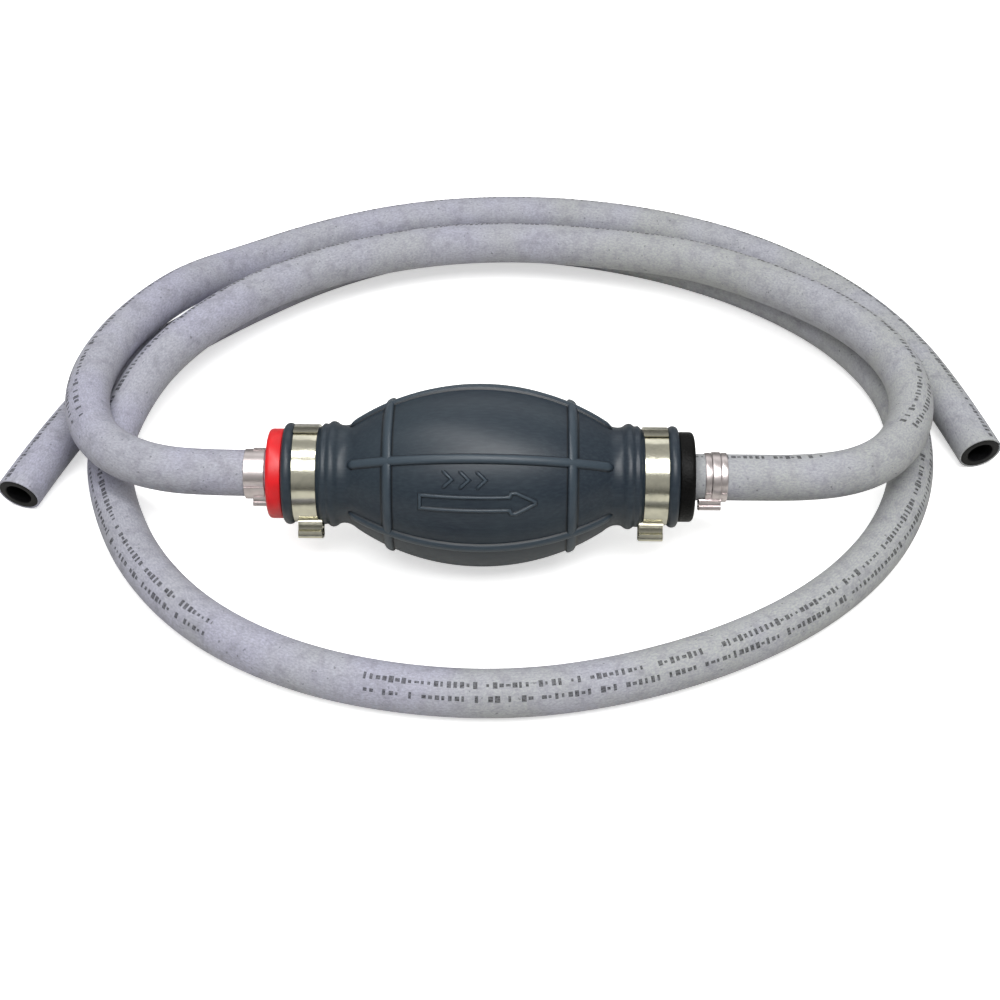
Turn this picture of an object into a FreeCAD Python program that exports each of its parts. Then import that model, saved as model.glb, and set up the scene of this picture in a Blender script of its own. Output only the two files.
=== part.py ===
import FreeCAD, Part
import math
import os
import Sketcher

# Outboard fuel line: a squeeze primer bulb lying along X, its two check valves, its four ear
# clamps and the two hoses. Millimetres, +Z up. The origin is on the ground under the middle of
# the bulb. The inlet is at -X and the outlet at +X, and fuel flows towards +X.

V = FreeCAD.Vector
doc = FreeCAD.newDocument("fuel_line")
os.makedirs("parts", exist_ok=True)

# ---- sizes -------------------------------------------------------------------------------------

SIZES = [
    ("belly_radius", 31.5),
    ("belly_arc_radius", 77.0),
    ("wall", 3.0),
    ("belly_end", 45.0),
    ("neck_radius", 16.9),
    ("neck_bead_x", 50.7),
    ("neck_bead_radius", 18.2),
    ("land_end", 64.0),
    ("land_radius", 16.0),
    ("lip_radius", 17.4),
    ("body_end", 67.4),
    ("neck_bore", 12.55),
    ("rib_width", 3.0),
    ("rib_height", 0.9),
    ("rib_half_length", 44.6),
    ("rib_turn", 21.0),
    ("ring_x", 31.0),
    ("ring_radius", 1.1),
    ("panel_half_x", 26.0),
    ("panel_half_y", 17.0),
    ("panel_gap", 0.3),
    ("spigot_radius", 12.5),
    ("spigot_end", 48.0),
    ("flange_in", 67.5),
    ("flange_out", 72.8),
    ("flange_radius", 15.45),
    ("flange_round", 1.2),
    ("barb_end", 89.5),
    ("barb_root", 4.74),
    ("barb_crest", 5.3),
    ("port_radius", 3.2),
    ("chamber_radius", 8.5),
    ("inlet_floor", 65.0),
    ("outlet_floor", 62.0),
    ("hose_od", 16.0),
    ("hose_bore", 9.525),
    ("liner_radius", 7.17),
    ("cover_bore", 7.2),
    ("band_inner", 16.05),
    ("band_thick", 0.6),
    ("band_start", 55.5),
    ("band_width", 8.3),
    ("small_inner", 8.04),
    ("small_thick", 0.5),
    ("small_width", 7.6),
    ("inlet_clamp_x", 81.1),
    ("outlet_clamp_x", 76.7),
    ("poppet_radius", 6.0),
    ("poppet_thick", 1.5),
    ("stem_radius", 1.5),
    ("nose_radius", 2.85),
    ("seal_thick", 1.0),
    ("seal_gap", 0.02),
    ("wire_radius", 0.25),
    ("flow_hole_radius", 1.6),
    ("flow_hole_place", 5.9),
    ("ear_half", 4.2),
    ("ear_out", 22.0),
    ("small_ear_half", 2.9),
    ("small_ear_out", 11.1),
]
sheet = doc.addObject("Spreadsheet::Sheet", "sizes")
for row, (alias, value) in enumerate(SIZES, 1):
    sheet.set("A%d" % row, alias)
    sheet.set("B%d" % row, "%g" % value)
    sheet.setAlias("B%d" % row, alias)
doc.recompute()


def size(alias):
    return float(sheet.get(alias))


# ---- helpers -----------------------------------------------------------------------------------

def new_body(name):
    """An empty body whose own X axis is the bulb's axis."""
    body = doc.addObject("PartDesign::Body", name)
    body.Label = name
    body.setExpression("Placement.Base.z", "sizes.belly_radius * 1mm")
    return body


def sketch_on(body, role, name):
    """A sketch on one of the body's own origin planes."""
    plane = [o for o in body.Origin.OriginFeatures if o.Role == role][0]
    sketch = body.newObject("Sketcher::SketchObject", name)
    sketch.AttachmentSupport = [(plane, "")]
    sketch.MapMode = "FlatFace"
    return sketch


def words(text):
    """Turns a formula of bare aliases into one that names the sheet."""
    for alias in sorted((a for a, _ in SIZES), key=len, reverse=True):
        text = text.replace(alias, "<%d>" % [a for a, _ in SIZES].index(alias))
    for i, (alias, _) in enumerate(SIZES):
        text = text.replace("<%d>" % i, "sizes." + alias)
    return text


def loop(sketch, corners):
    """A closed outline whose corners are formulas of the sheet's sizes.

    A corner is (across, up) or (across, up, radius): the radius belongs to the edge that leaves
    the corner and is positive where that edge bulges to its left.
    """
    points = []
    for corner in corners:
        x, y = (float(sketch.evalExpression(words(str(c)))) for c in corner[:2])
        points.append(V(x, y, 0))
    edges = []
    for i, corner in enumerate(corners):
        start, end = points[i], points[(i + 1) % len(points)]
        if len(corner) == 2:
            index = sketch.addGeometry(Part.LineSegment(start, end))
            edges.append((index, 1, 2))
            continue
        radius = float(sketch.evalExpression(words(str(corner[2]))))
        chord = end - start
        left = V(-chord.y, chord.x, 0).normalize()
        half = chord.Length / 2
        sag = abs(radius) - math.sqrt(radius * radius - half * half)
        middle = (start + end) * 0.5 + left * math.copysign(sag, radius)
        index = sketch.addGeometry(Part.Arc(start, middle, end))
        first = 1 if sketch.getPoint(index, 1).distanceToPoint(start) < 1e-6 else 2
        edges.append((index, first, 3 - first))
        formula = words("abs(%s)" % corner[2])
        number = sketch.addConstraint(Sketcher.Constraint("Radius", index, abs(radius)))
        sketch.setExpression("Constraints[%d]" % number, formula)
    for i, (index, first, last) in enumerate(edges):
        following = edges[(i + 1) % len(edges)]
        sketch.addConstraint(Sketcher.Constraint("Coincident", index, last, *following[:2]))
    for corner, point, (index, first, last) in zip(corners, points, edges):
        for kind, value, formula in (("DistanceX", point.x, corner[0]),
                                     ("DistanceY", point.y, corner[1])):
            number = sketch.addConstraint(Sketcher.Constraint(kind, -1, 1, index, first, value))
            sketch.setExpression("Constraints[%d]" % number, words(str(formula)))


def turned(body, name, corners):
    """A full turn of an outline about the body's X axis."""
    sketch = sketch_on(body, "XZ_Plane", name + "_outline")
    loop(sketch, corners)
    feature = body.newObject("PartDesign::Revolution", name)
    feature.Profile = sketch
    feature.ReferenceAxis = (sketch, ["H_Axis"])
    feature.Angle = 360
    sketch.Visibility = False
    doc.recompute()


def padded(body, name, role, outlines, length, offset="0", cut=False, both=False, turn=0):
    """A pad or pocket; the sketch is turned about its normal and slid along it."""
    sketch = sketch_on(body, role, name + "_outline")
    spin = FreeCAD.Rotation(V(0, 0, 1), turn)
    sketch.AttachmentOffset = FreeCAD.Placement(V(0, 0, 0), spin)
    for outline in outlines:
        loop(sketch, outline)
    sketch.setExpression("AttachmentOffset.Base.z", "(%s) * 1mm" % words(offset))
    feature = body.newObject("PartDesign::Pocket" if cut else "PartDesign::Pad", name)
    feature.Profile = sketch
    feature.setExpression("Length", "(%s) * 1mm" % words(length))
    feature.SideType = "Symmetric" if both else "One side"
    sketch.Visibility = False
    doc.recompute()
    return feature


def box(half_x, half_y):
    return [("-(%s)" % half_x, "-(%s)" % half_y), (half_x, "-(%s)" % half_y),
            (half_x, half_y), ("-(%s)" % half_x, half_y)]


def rectangle(left, right, low, high):
    return [(left, low), (right, low), (right, high), (left, high)]


# ---- the rubber bulb ---------------------------------------------------------------------------

def moulding(body):
    """The whole moulded wall: belly, necks, end lips, six long ribs and two ring ribs."""
    centre = "(belly_radius - belly_arc_radius)"
    inner_arc = "(belly_arc_radius - wall)"
    inner_x = "(belly_end - 1)"
    inner_r = "(%s + sqrt(%s ^ 2 - %s ^ 2))" % (centre, inner_arc, inner_x)
    outer_r = "(%s + sqrt(belly_arc_radius ^ 2 - belly_end ^ 2))" % centre
    half = [
        ("belly_end", outer_r),
        ("neck_bead_x - 3", "neck_radius"),
        ("neck_bead_x - 1", "neck_bead_radius"),
        ("neck_bead_x + 1", "neck_bead_radius"),
        ("neck_bead_x + 3", "land_radius"),
        ("land_end", "land_radius"),
        ("land_end + 0.9", "lip_radius"),
        ("body_end - 0.8", "lip_radius"),
        ("body_end", "lip_radius - 0.8"),
        ("body_end", "neck_bore"),
        ("spigot_end - 0.5", "neck_bore"),
        (inner_x, inner_r),
    ]
    left = [("-(%s)" % x, r) for x, r in reversed(half)]
    outline = (left[:-1] + [left[-1] + ("belly_arc_radius",)]
               + half[:-1] + [half[-1] + ("-(belly_arc_radius - wall)",)])
    turned(body, body.Name + "_wall", outline)

    top = "(%s + sqrt((belly_arc_radius + rib_height) ^ 2 - rib_half_length ^ 2))" % centre
    low = "(%s + sqrt((belly_arc_radius - 1) ^ 2 - rib_half_length ^ 2))" % centre
    sketch = sketch_on(body, "XZ_Plane", body.Name + "_rib_outline")
    turn = FreeCAD.Rotation(V(1, 0, 0), -size("rib_turn"))
    sketch.AttachmentOffset = FreeCAD.Placement(V(0, 0, 0), turn)
    loop(sketch, [("-rib_half_length", top, "belly_arc_radius + rib_height"),
                  ("rib_half_length", top),
                  ("rib_half_length", low, "-(belly_arc_radius - 1)"),
                  ("-rib_half_length", low)])
    rib = body.newObject("PartDesign::Pad", body.Name + "_rib")
    rib.Profile = sketch
    rib.setExpression("Length", "sizes.rib_width * 1mm")
    rib.SideType = "Symmetric"
    doc.recompute()
    body.Tip = rib
    ribs = body.newObject("PartDesign::PolarPattern", body.Name + "_ribs")
    ribs.Originals = [rib]
    axis = [o for o in body.Origin.OriginFeatures if o.Role == "X_Axis"][0]
    ribs.Axis = (axis, [""])
    ribs.Angle = 360
    ribs.Occurrences = 6
    body.Tip = ribs
    doc.recompute()
    for side, label in (("-", "inlet"), ("", "outlet")):
        ring = "(%s + sqrt(belly_arc_radius ^ 2 - ring_x ^ 2))" % centre
        turned(body, "%s_%s_ring" % (body.Name, label), [
            ("%s(ring_x + ring_radius)" % side, ring + " - 1.1"),
            ("%s(ring_x + ring_radius)" % side, ring + " + 0.1"),
            ("%s(ring_x + 0.4)" % side, ring + " + 0.65"),
            ("%s(ring_x - 0.4)" % side, ring + " + 0.95"),
            ("%s(ring_x - ring_radius)" % side, ring + " + 0.9"),
            ("%s(ring_x - ring_radius)" % side, ring + " - 0.6"),
        ])


bulb = new_body("bulb_body")
moulding(bulb)
opening = padded(bulb, "bulb_opening", "XY_Plane", [box("panel_half_x", "panel_half_y")],
                 "belly_radius + 5", cut=True)
opening.Reversed = True
doc.recompute()
if bulb.Shape.isInside(V(0, 0, 2 * size("belly_radius") - 1), 0.01, True):
    print("the opening in the top of the bulb is missing")

panel = new_body("bulb_squeeze_panel")
moulding(panel)
trim_half = ("panel_half_x - panel_gap", "panel_half_y - panel_gap")
padded(panel, "panel_trim", "XY_Plane", [box("body_end + 5", "belly_radius + 10"),
                                         box(*trim_half)], "3 * belly_radius", cut=True, both=True)
padded(panel, "panel_under", "XY_Plane", [box("body_end + 5", "belly_radius + 10")],
       "belly_radius + 10", cut=True)


# ---- end fittings ------------------------------------------------------------------------------

def barb(s):
    """The hose barb's outside from the flange outwards, with three crests."""
    corners = []
    for i in range(3):
        x = "barb_end - %g" % (11.5 - 4.0 * i)
        corners += [("%s(%s)" % (s, x), "barb_root"),
                    ("%s(%s)" % (s, x), "barb_crest"),
                    ("%s(%s + 3.2)" % (s, x), "barb_root")]
    return corners


def fitting(name, s, floor, floor_radius):
    """Spigot in the neck, flange against the lip, and barb in the hose."""
    corners = [("%sspigot_end" % s, "chamber_radius"),
               ("%sspigot_end" % s, "spigot_radius"),
               ("%sflange_in" % s, "spigot_radius"),
               ("%sflange_in" % s, "flange_radius"),
               ("%s(flange_out - flange_round)" % s, "flange_radius"),
               ("%s(flange_out - 0.3 * flange_round)" % s, "flange_radius - 0.3 * flange_round"),
               ("%sflange_out" % s, "flange_radius - flange_round"),
               ("%sflange_out" % s, "barb_root")]
    corners += barb(s)
    corners += [("%sbarb_end" % s, "barb_root"),
                ("%sbarb_end" % s, floor_radius),
                ("%s%s" % (s, floor), floor_radius),
                ("%s%s" % (s, floor), "chamber_radius")]
    turned(new_body(name), name + "_turned", corners)


fitting("inlet_end_fitting", "-", "inlet_floor", "port_radius")
fitting("outlet_end_fitting", "", "outlet_floor", "port_radius")


# ---- check valves ------------------------------------------------------------------------------

def poppet(name, seat, stem):
    """A disc with a nose in the port behind it and a stem along the flow."""
    body = new_body(name)
    disc = "(%s + seal_gap + seal_thick + seal_gap)" % seat
    turned(body, name + "_turned", [
        ("%s - 0.5" % seat, "0"),
        ("%s - 0.5" % seat, "nose_radius"),
        (disc, "nose_radius"),
        (disc, "poppet_radius"),
        ("%s + poppet_thick" % disc, "poppet_radius"),
        ("%s + poppet_thick" % disc, "stem_radius"),
        ("%s + poppet_thick + %s" % (disc, stem), "stem_radius"),
        ("%s + poppet_thick + %s" % (disc, stem), "0"),
    ])


def seal(name, seat):
    """A flat ring between the poppet's disc and its seat."""
    turned(new_body(name), name + "_turned", rectangle(
        "%s + seal_gap" % seat, "%s + seal_gap + seal_thick" % seat,
        "nose_radius + 0.05", "poppet_radius - 0.3"))


def coil(name, start, length, radius, turns):
    """A light coil spring about the X axis."""
    body = new_body(name)
    sketch = sketch_on(body, "XZ_Plane", name + "_wire")
    x = float(sketch.evalExpression(words("%s + wire_radius" % start)))
    sketch.addGeometry(Part.Circle(V(x, radius, 0), V(0, 0, 1), size("wire_radius")))
    number = sketch.addConstraint(Sketcher.Constraint("Radius", 0, size("wire_radius")))
    sketch.setExpression("Constraints[%d]" % number, "sizes.wire_radius")
    sketch.addConstraint(Sketcher.Constraint("DistanceY", -1, 1, 0, 3, radius))
    number = sketch.addConstraint(Sketcher.Constraint("DistanceX", -1, 1, 0, 3, x))
    sketch.setExpression("Constraints[%d]" % number, words("%s + wire_radius" % start))
    helix = body.newObject("PartDesign::AdditiveHelix", name + "_coil")
    helix.Profile = sketch
    helix.ReferenceAxis = (sketch, ["H_Axis"])
    helix.Mode = "height-turns-angle"
    helix.Turns = turns
    helix.setExpression("Height", words("(%s - 2 * wire_radius) * 1mm" % length))
    sketch.Visibility = False
    doc.recompute()


poppet("inlet_poppet", "-inlet_floor", "12")
seal("inlet_poppet_seal", "-inlet_floor")
coil("inlet_valve_spring", "-inlet_floor + seal_thick + 2 * seal_gap + poppet_thick + 0.02",
     "9.9", 3.0, 6)

retainer = new_body("inlet_spring_retainer")
turned(retainer, "retainer_disc", rectangle("-spigot_end - 4.5", "-spigot_end - 2",
                                            "stem_radius + 0.08", "chamber_radius - 0.05"))
hole = sketch_on(retainer, "YZ_Plane", "retainer_hole_outline")
hole.addGeometry(Part.Circle(V(size("flow_hole_place"), 0, 0), V(0, 0, 1),
                             size("flow_hole_radius")))
number = hole.addConstraint(Sketcher.Constraint("Radius", 0, size("flow_hole_radius")))
hole.setExpression("Constraints[%d]" % number, "sizes.flow_hole_radius")
number = hole.addConstraint(Sketcher.Constraint("DistanceX", -1, 1, 0, 3,
                                                size("flow_hole_place")))
hole.setExpression("Constraints[%d]" % number, "sizes.flow_hole_place")
hole.addConstraint(Sketcher.Constraint("DistanceY", -1, 1, 0, 3, 0))
flow = retainer.newObject("PartDesign::Pocket", "retainer_hole")
flow.Profile = hole
flow.Type = "ThroughAll"
flow.SideType = "Symmetric"
doc.recompute()
retainer.Tip = flow
holes = retainer.newObject("PartDesign::PolarPattern", "retainer_holes")
holes.Originals = [flow]
holes.Axis = ([o for o in retainer.Origin.OriginFeatures if o.Role == "X_Axis"][0], [""])
holes.Angle = 360
holes.Occurrences = 6
retainer.Tip = holes
doc.recompute()

turned(new_body("outlet_seat_ring"), "seat_ring_turned", rectangle(
    "spigot_end", "spigot_end + 3", "port_radius", "chamber_radius - 0.05"))
poppet("outlet_poppet", "spigot_end + 3", "9")
seal("outlet_poppet_seal", "spigot_end + 3")
coil("outlet_valve_spring",
     "spigot_end + 3 + seal_thick + 2 * seal_gap + poppet_thick + 0.02", "8.4", 4.2, 5)


# ---- ear clamps --------------------------------------------------------------------------------

def circle_sketch(body, name, radii, offset):
    """Circles about the X axis on a plane across it."""
    sketch = sketch_on(body, "YZ_Plane", name)
    for radius in radii:
        value = float(sketch.evalExpression(words(radius)))
        index = sketch.addGeometry(Part.Circle(V(0, 0, 0), V(0, 0, 1), value))
        sketch.addConstraint(Sketcher.Constraint("Coincident", index, 3, -1, 1))
        number = sketch.addConstraint(Sketcher.Constraint("Radius", index, value))
        sketch.setExpression("Constraints[%d]" % number, words(radius))
    sketch.setExpression("AttachmentOffset.Base.z", "(%s) * 1mm" % words(offset))
    return sketch


def clamp(name, start, width, inner, thick, ear_half, ear_out, ear_start, ear_width):
    """A crimped ring: a band, its overlapping outer end and the hollow ear below the front."""
    body = new_body(name)
    outer = "(%s + %s)" % (inner, thick)
    sketch = circle_sketch(body, name + "_band_outline", [inner, outer], start)
    band = body.newObject("PartDesign::Pad", name + "_band")
    band.Profile = sketch
    band.setExpression("Length", "(%s) * 1mm" % words(width))
    doc.recompute()
    # The overlap runs from just short of the top, round the back, to the ear.
    way = [math.radians(a) for a in OVERLAP_ANGLES]
    low = "(%s - 0.1)" % outer
    high = "(%s + 0.6 * %s)" % (outer, thick)
    lap = [("%.6f * %s" % (math.cos(a), low), "%.6f * %s" % (math.sin(a), low), low)
           for a in way]
    lap[-1] = lap[-1][:2]
    back = [("%.6f * %s" % (math.cos(a), high), "%.6f * %s" % (math.sin(a), high), "-" + high)
            for a in reversed(way)]
    back[-1] = back[-1][:2]
    padded(body, name + "_overlap", "YZ_Plane", [lap + back], width, start)
    wall = "1.3 * %s" % thick
    padded(body, name + "_ear", "YZ_Plane", [
        rectangle("-" + ear_half, ear_half, "-" + ear_out, "-(%s - 0.3)" % outer),
        rectangle("-(%s - %s)" % (ear_half, wall), "%s - %s" % (ear_half, wall),
                  "-(%s - %s)" % (ear_out, wall), "-(%s + 0.15)" % outer)],
        ear_width, ear_start, turn=EAR_TURN)


# Angles in the plane across the axis, from +Y towards +Z.
OVERLAP_ANGLES = (85, -15, -110)
EAR_TURN = -40
clamp("inlet_bulb_clamp", "-band_start - band_width", "band_width", "band_inner", "band_thick",
      "ear_half", "ear_out", "-band_start - band_width + 1.3", "band_width")
clamp("outlet_bulb_clamp", "band_start", "band_width", "band_inner", "band_thick",
      "ear_half", "ear_out", "band_start - 1.3", "band_width")
clamp("inlet_hose_clamp", "-inlet_clamp_x", "small_width", "small_inner", "small_thick",
      "small_ear_half", "small_ear_out", "-inlet_clamp_x + 3", "small_width - 2.4")
clamp("outlet_hose_clamp", "outlet_clamp_x", "small_width", "small_inner", "small_thick",
      "small_ear_half", "small_ear_out", "outlet_clamp_x - 2", "small_width")


# ---- hoses -------------------------------------------------------------------------------------

# Corners of the short hose's centre line, from its barb to its free end.
INLET_ROUTE = [
    (-73.2, 0, 31.5), (-92, 0, 31.5), (-110.2, 2.2, 30.9), (-125.7, 9.6, 29.9),
    (-137.3, 22, 28.8), (-143.5, 37.9, 27.8), (-145.4, 55.8, 26.8), (-142.4, 74.6, 26.2),
    (-135.4, 92.8, 25.8), (-126, 110.5, 24.5), (-116.5, 129.5, 19.6), (-101, 152, 11.3),
    (-72, 175.5, 8), (-37, 190, 8), (2, 196, 8), (40, 194, 8), (77, 184.5, 8), (110, 168, 8),
    (138, 144, 8), (159, 115, 8), (173.5, 79, 8), (182.5, 41.5, 8),
]
# Corners of the long hose's centre line, from its barb to its free end.
OUTLET_ROUTE = [
    (73.2, 0, 31.5), (92, 0, 31.5), (111.5, 1.2, 30.5), (128.5, 6, 28.9), (142.3, 16, 27.3),
    (151.5, 30.6, 26), (156.3, 48.2, 25.3), (156, 66.8, 24.9), (149.7, 84.6, 24.8),
    (138.3, 101.3, 24.5), (122.5, 117, 23.6), (99.5, 135, 22), (77, 147, 20.8),
    (43, 156.5, 18.8), (8, 161, 18), (-27, 157, 18), (-60, 143.5, 19.3), (-87.5, 123.5, 20.8),
    (-108.5, 101.5, 20.8), (-124, 79.5, 18.8), (-133, 58, 15), (-137.5, 34.5, 11),
    (-131.5, 8.8, 8), (-117.5, -21.5, 8), (-94, -49, 8), (-62, -68.5, 8), (-26, -78.5, 8),
    (12, -80.5, 8), (48, -73.5, 8), (83, -59.5, 8), (114, -39.5, 8), (138, -13.5, 8),
    (153, 16.5, 8), (158.5, 48.5, 8), (155, 82, 8), (138, 114, 8), (110, 140.5, 8),
    (77, 159.5, 8), (41, 171.5, 8), (4, 176.5, 8), (-33, 171, 8), (-66, 155, 8), (-95, 132, 8),
    (-121, 107, 8), (-143, 80, 8), (-157, 47.5, 8), (-166.5, 13.8, 8),
]
CUT_BACK = 0.45


def centre_line(route, name):
    """Straight runs joined by tangent arcs; prints the arcs' radii."""
    points = [V(*p) for p in route]
    edges = []
    radii = []
    at = points[0]
    for before, corner, after in zip(points, points[1:], points[2:]):
        back = (before - corner).normalize()
        ahead = (after - corner).normalize()
        cut = CUT_BACK * min((before - corner).Length, (after - corner).Length)
        half_turn = (math.pi - back.getAngle(ahead)) / 2
        radius = cut / math.tan(half_turn)
        start = corner + back * cut
        end = corner + ahead * cut
        inward = (back + ahead).normalize()
        middle = corner + inward * (radius / math.cos(half_turn) - radius)
        edges.append(Part.LineSegment(at, start).toShape())
        edges.append(Part.Arc(start, middle, end).toShape())
        radii.append(radius)
        at = end
    edges.append(Part.LineSegment(at, points[-1]).toShape())
    wire = Part.Wire(edges)
    print(name, "length %.1f" % wire.Length, "arc radii", [round(r, 1) for r in radii])
    return wire


def tube(name, wire, outer, inner):
    """A hose layer: a ring swept along the centre line."""
    start = wire.Edges[0].Vertexes[0].Point
    direction = wire.Edges[0].tangentAt(wire.Edges[0].FirstParameter)
    solids = []
    for radius in (outer, inner):
        ring = Part.Wire([Part.Circle(start, direction, radius).toShape()])
        solids.append(wire.makePipeShell([ring], True, False))
    shape = solids[0].cut(solids[1])
    expected = math.pi * (outer ** 2 - inner ** 2) * wire.Length
    print(name, "volume / expected %.4f" % (shape.Volume / expected), shape.isValid())
    feature = doc.addObject("Part::Feature", name)
    feature.Label = name
    feature.Shape = shape.Solids[0]
    feature.Placement = FreeCAD.Placement()


for side, route in (("inlet", INLET_ROUTE), ("outlet", OUTLET_ROUTE)):
    wire = centre_line(route, side + "_hose")
    tube(side + "_hose", wire, size("hose_od") / 2, size("cover_bore"))
    tube(side + "_hose_liner", wire, size("liner_radius"), size("hose_bore") / 2)


# ---- check and export --------------------------------------------------------------------------

doc.recompute()
count = 0
for item in doc.Objects:
    if "Invalid" in item.State or "Error" in item.State:
        print("problem", item.Label, item.State)
    if not (item.isDerivedFrom("PartDesign::Body") or item.TypeId == "Part::Feature"):
        continue
    shape = item.Shape
    if shape.isNull() or not shape.isValid() or len(shape.Solids) != 1:
        print("bad shape", item.Label, shape.isNull() or (shape.isValid(), len(shape.Solids)))
    bounds = shape.optimalBoundingBox(False)
    print("%-22s %8.1f mm3  x %.1f %.1f  y %.1f %.1f  z %.1f %.1f" % (
        item.Label, shape.Volume, bounds.XMin, bounds.XMax, bounds.YMin, bounds.YMax,
        bounds.ZMin, bounds.ZMax))
    shape.exportStep("parts/%s.step" % item.Label)
    count += 1
print(count, "parts")
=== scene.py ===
import math

import bmesh
import bpy
from mathutils import Matrix, Vector
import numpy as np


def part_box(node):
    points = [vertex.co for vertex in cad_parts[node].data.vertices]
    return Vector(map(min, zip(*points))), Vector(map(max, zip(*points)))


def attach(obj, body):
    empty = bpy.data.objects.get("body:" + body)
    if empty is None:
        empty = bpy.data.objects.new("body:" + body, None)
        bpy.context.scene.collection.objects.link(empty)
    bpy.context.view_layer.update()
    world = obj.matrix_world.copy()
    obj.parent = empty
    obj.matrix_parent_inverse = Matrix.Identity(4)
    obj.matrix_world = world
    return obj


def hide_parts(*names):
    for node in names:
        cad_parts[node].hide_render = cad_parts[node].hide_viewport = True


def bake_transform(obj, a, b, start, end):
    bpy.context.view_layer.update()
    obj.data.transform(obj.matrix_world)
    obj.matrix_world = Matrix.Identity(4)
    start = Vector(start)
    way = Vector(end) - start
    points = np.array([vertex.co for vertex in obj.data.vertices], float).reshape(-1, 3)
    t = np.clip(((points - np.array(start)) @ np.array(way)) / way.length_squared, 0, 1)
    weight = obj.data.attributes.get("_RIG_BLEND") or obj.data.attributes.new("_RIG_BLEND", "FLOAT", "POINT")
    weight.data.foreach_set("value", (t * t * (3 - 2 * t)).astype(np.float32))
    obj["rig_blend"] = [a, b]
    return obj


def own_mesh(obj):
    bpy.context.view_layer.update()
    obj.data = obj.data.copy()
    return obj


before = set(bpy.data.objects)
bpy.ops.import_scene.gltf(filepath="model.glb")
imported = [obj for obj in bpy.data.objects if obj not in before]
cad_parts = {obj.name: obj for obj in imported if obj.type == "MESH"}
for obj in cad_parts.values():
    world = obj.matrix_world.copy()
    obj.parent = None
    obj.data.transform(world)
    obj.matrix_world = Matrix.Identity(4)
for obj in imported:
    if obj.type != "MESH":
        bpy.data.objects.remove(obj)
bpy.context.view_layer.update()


# ---- Camera -------------------------------------------------------------------------------------
# A long lens looking down at 42 degrees from the front, very slightly to the right of the
# bulb's middle, with the free ends of both hoses just inside its view.

TILT, YAW = math.radians(42), math.radians(0.8)
EYE = (0.0135, -0.4998, 0.4701)
SENSOR_MM, LENS_MM = 36, 69.5

camera = bpy.data.objects.new("camera", bpy.data.cameras.new("camera"))
bpy.context.scene.collection.objects.link(camera)
bpy.context.scene.camera = camera
forward = Vector((-math.sin(YAW) * math.cos(TILT), math.cos(YAW) * math.cos(TILT), -math.sin(TILT)))
right = Vector((math.cos(YAW), math.sin(YAW), 0))
above = right.cross(forward)
turn = Matrix((right, above, -forward)).transposed().to_4x4()
camera.matrix_world = Matrix.Translation(EYE) @ turn
camera.data.sensor_width = SENSOR_MM
camera.data.lens = LENS_MM
camera.data.clip_start = 0.01


# ---- Hoses --------------------------------------------------------------------------------------
# Two lengths of grey fuel hose in a loose loop: a thin cloth-marked cover over a black barrier
# tube. Each follows one smooth line from its barb to its free end, which is cut a little aslant.

MM = 0.001
# Radii in metres. The cover is 0.8 mm thick and clears the barrier tube by 0.03 mm.
COVER_RADIUS, COVER_BORE = 0.008, 0.0072
TUBE_RADIUS, TUBE_BORE = 0.00717, 0.0047625

INLET_ROUTE = [
    (-0.0732, 0, 0.0315), (-0.092, 0, 0.0315), (-0.1102, 0.0022, 0.0309),
    (-0.1257, 0.0096, 0.0299), (-0.1373, 0.022, 0.0288), (-0.1435, 0.0379, 0.0278),
    (-0.1454, 0.0558, 0.0268), (-0.1424, 0.0746, 0.0262), (-0.1354, 0.0928, 0.0258),
    (-0.126, 0.1105, 0.0245), (-0.1165, 0.1295, 0.0196), (-0.101, 0.152, 0.0113),
    (-0.072, 0.1755, 0.008), (-0.037, 0.19, 0.008), (0.002, 0.196, 0.008), (0.04, 0.194, 0.008),
    (0.077, 0.1845, 0.008), (0.11, 0.168, 0.008), (0.138, 0.144, 0.008), (0.159, 0.115, 0.008),
    (0.1735, 0.079, 0.008), (0.1825, 0.0415, 0.008),
]
OUTLET_ROUTE = [
    (0.0732, 0, 0.0315), (0.092, 0, 0.0315), (0.1115, 0.0012, 0.0305), (0.1285, 0.006, 0.0289),
    (0.1423, 0.016, 0.0273), (0.1515, 0.0306, 0.026), (0.1563, 0.0482, 0.0253),
    (0.156, 0.0668, 0.0249), (0.1497, 0.0846, 0.0248), (0.1383, 0.1013, 0.0245),
    (0.1225, 0.117, 0.0236), (0.0995, 0.135, 0.022), (0.077, 0.147, 0.0208),
    (0.043, 0.1565, 0.0188), (0.008, 0.161, 0.018), (-0.027, 0.157, 0.018),
    (-0.06, 0.1435, 0.0193), (-0.0875, 0.1235, 0.0208), (-0.1085, 0.1015, 0.0208),
    (-0.124, 0.0795, 0.0188), (-0.133, 0.058, 0.015), (-0.1375, 0.0345, 0.011),
    (-0.1315, 0.0088, 0.008), (-0.1175, -0.0215, 0.008), (-0.094, -0.049, 0.008),
    (-0.062, -0.0685, 0.008), (-0.026, -0.0785, 0.008), (0.012, -0.0805, 0.008),
    (0.048, -0.0735, 0.008), (0.083, -0.0595, 0.008), (0.114, -0.0395, 0.008),
    (0.138, -0.0135, 0.008), (0.153, 0.0165, 0.008), (0.1585, 0.0485, 0.008),
    (0.155, 0.082, 0.008), (0.138, 0.114, 0.008), (0.11, 0.1405, 0.008), (0.077, 0.1595, 0.008),
    (0.041, 0.1715, 0.008), (0.004, 0.1765, 0.008), (-0.033, 0.171, 0.008),
    (-0.066, 0.155, 0.008), (-0.095, 0.132, 0.008), (-0.121, 0.107, 0.008),
    (-0.143, 0.08, 0.008), (-0.157, 0.0475, 0.008), (-0.1665, 0.0138, 0.008),
]

# Stretches of the long hose with no ink, in millimetres from its barb.
OUTLET_BLANKS = [(45, 85), (627, 682)]


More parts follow.
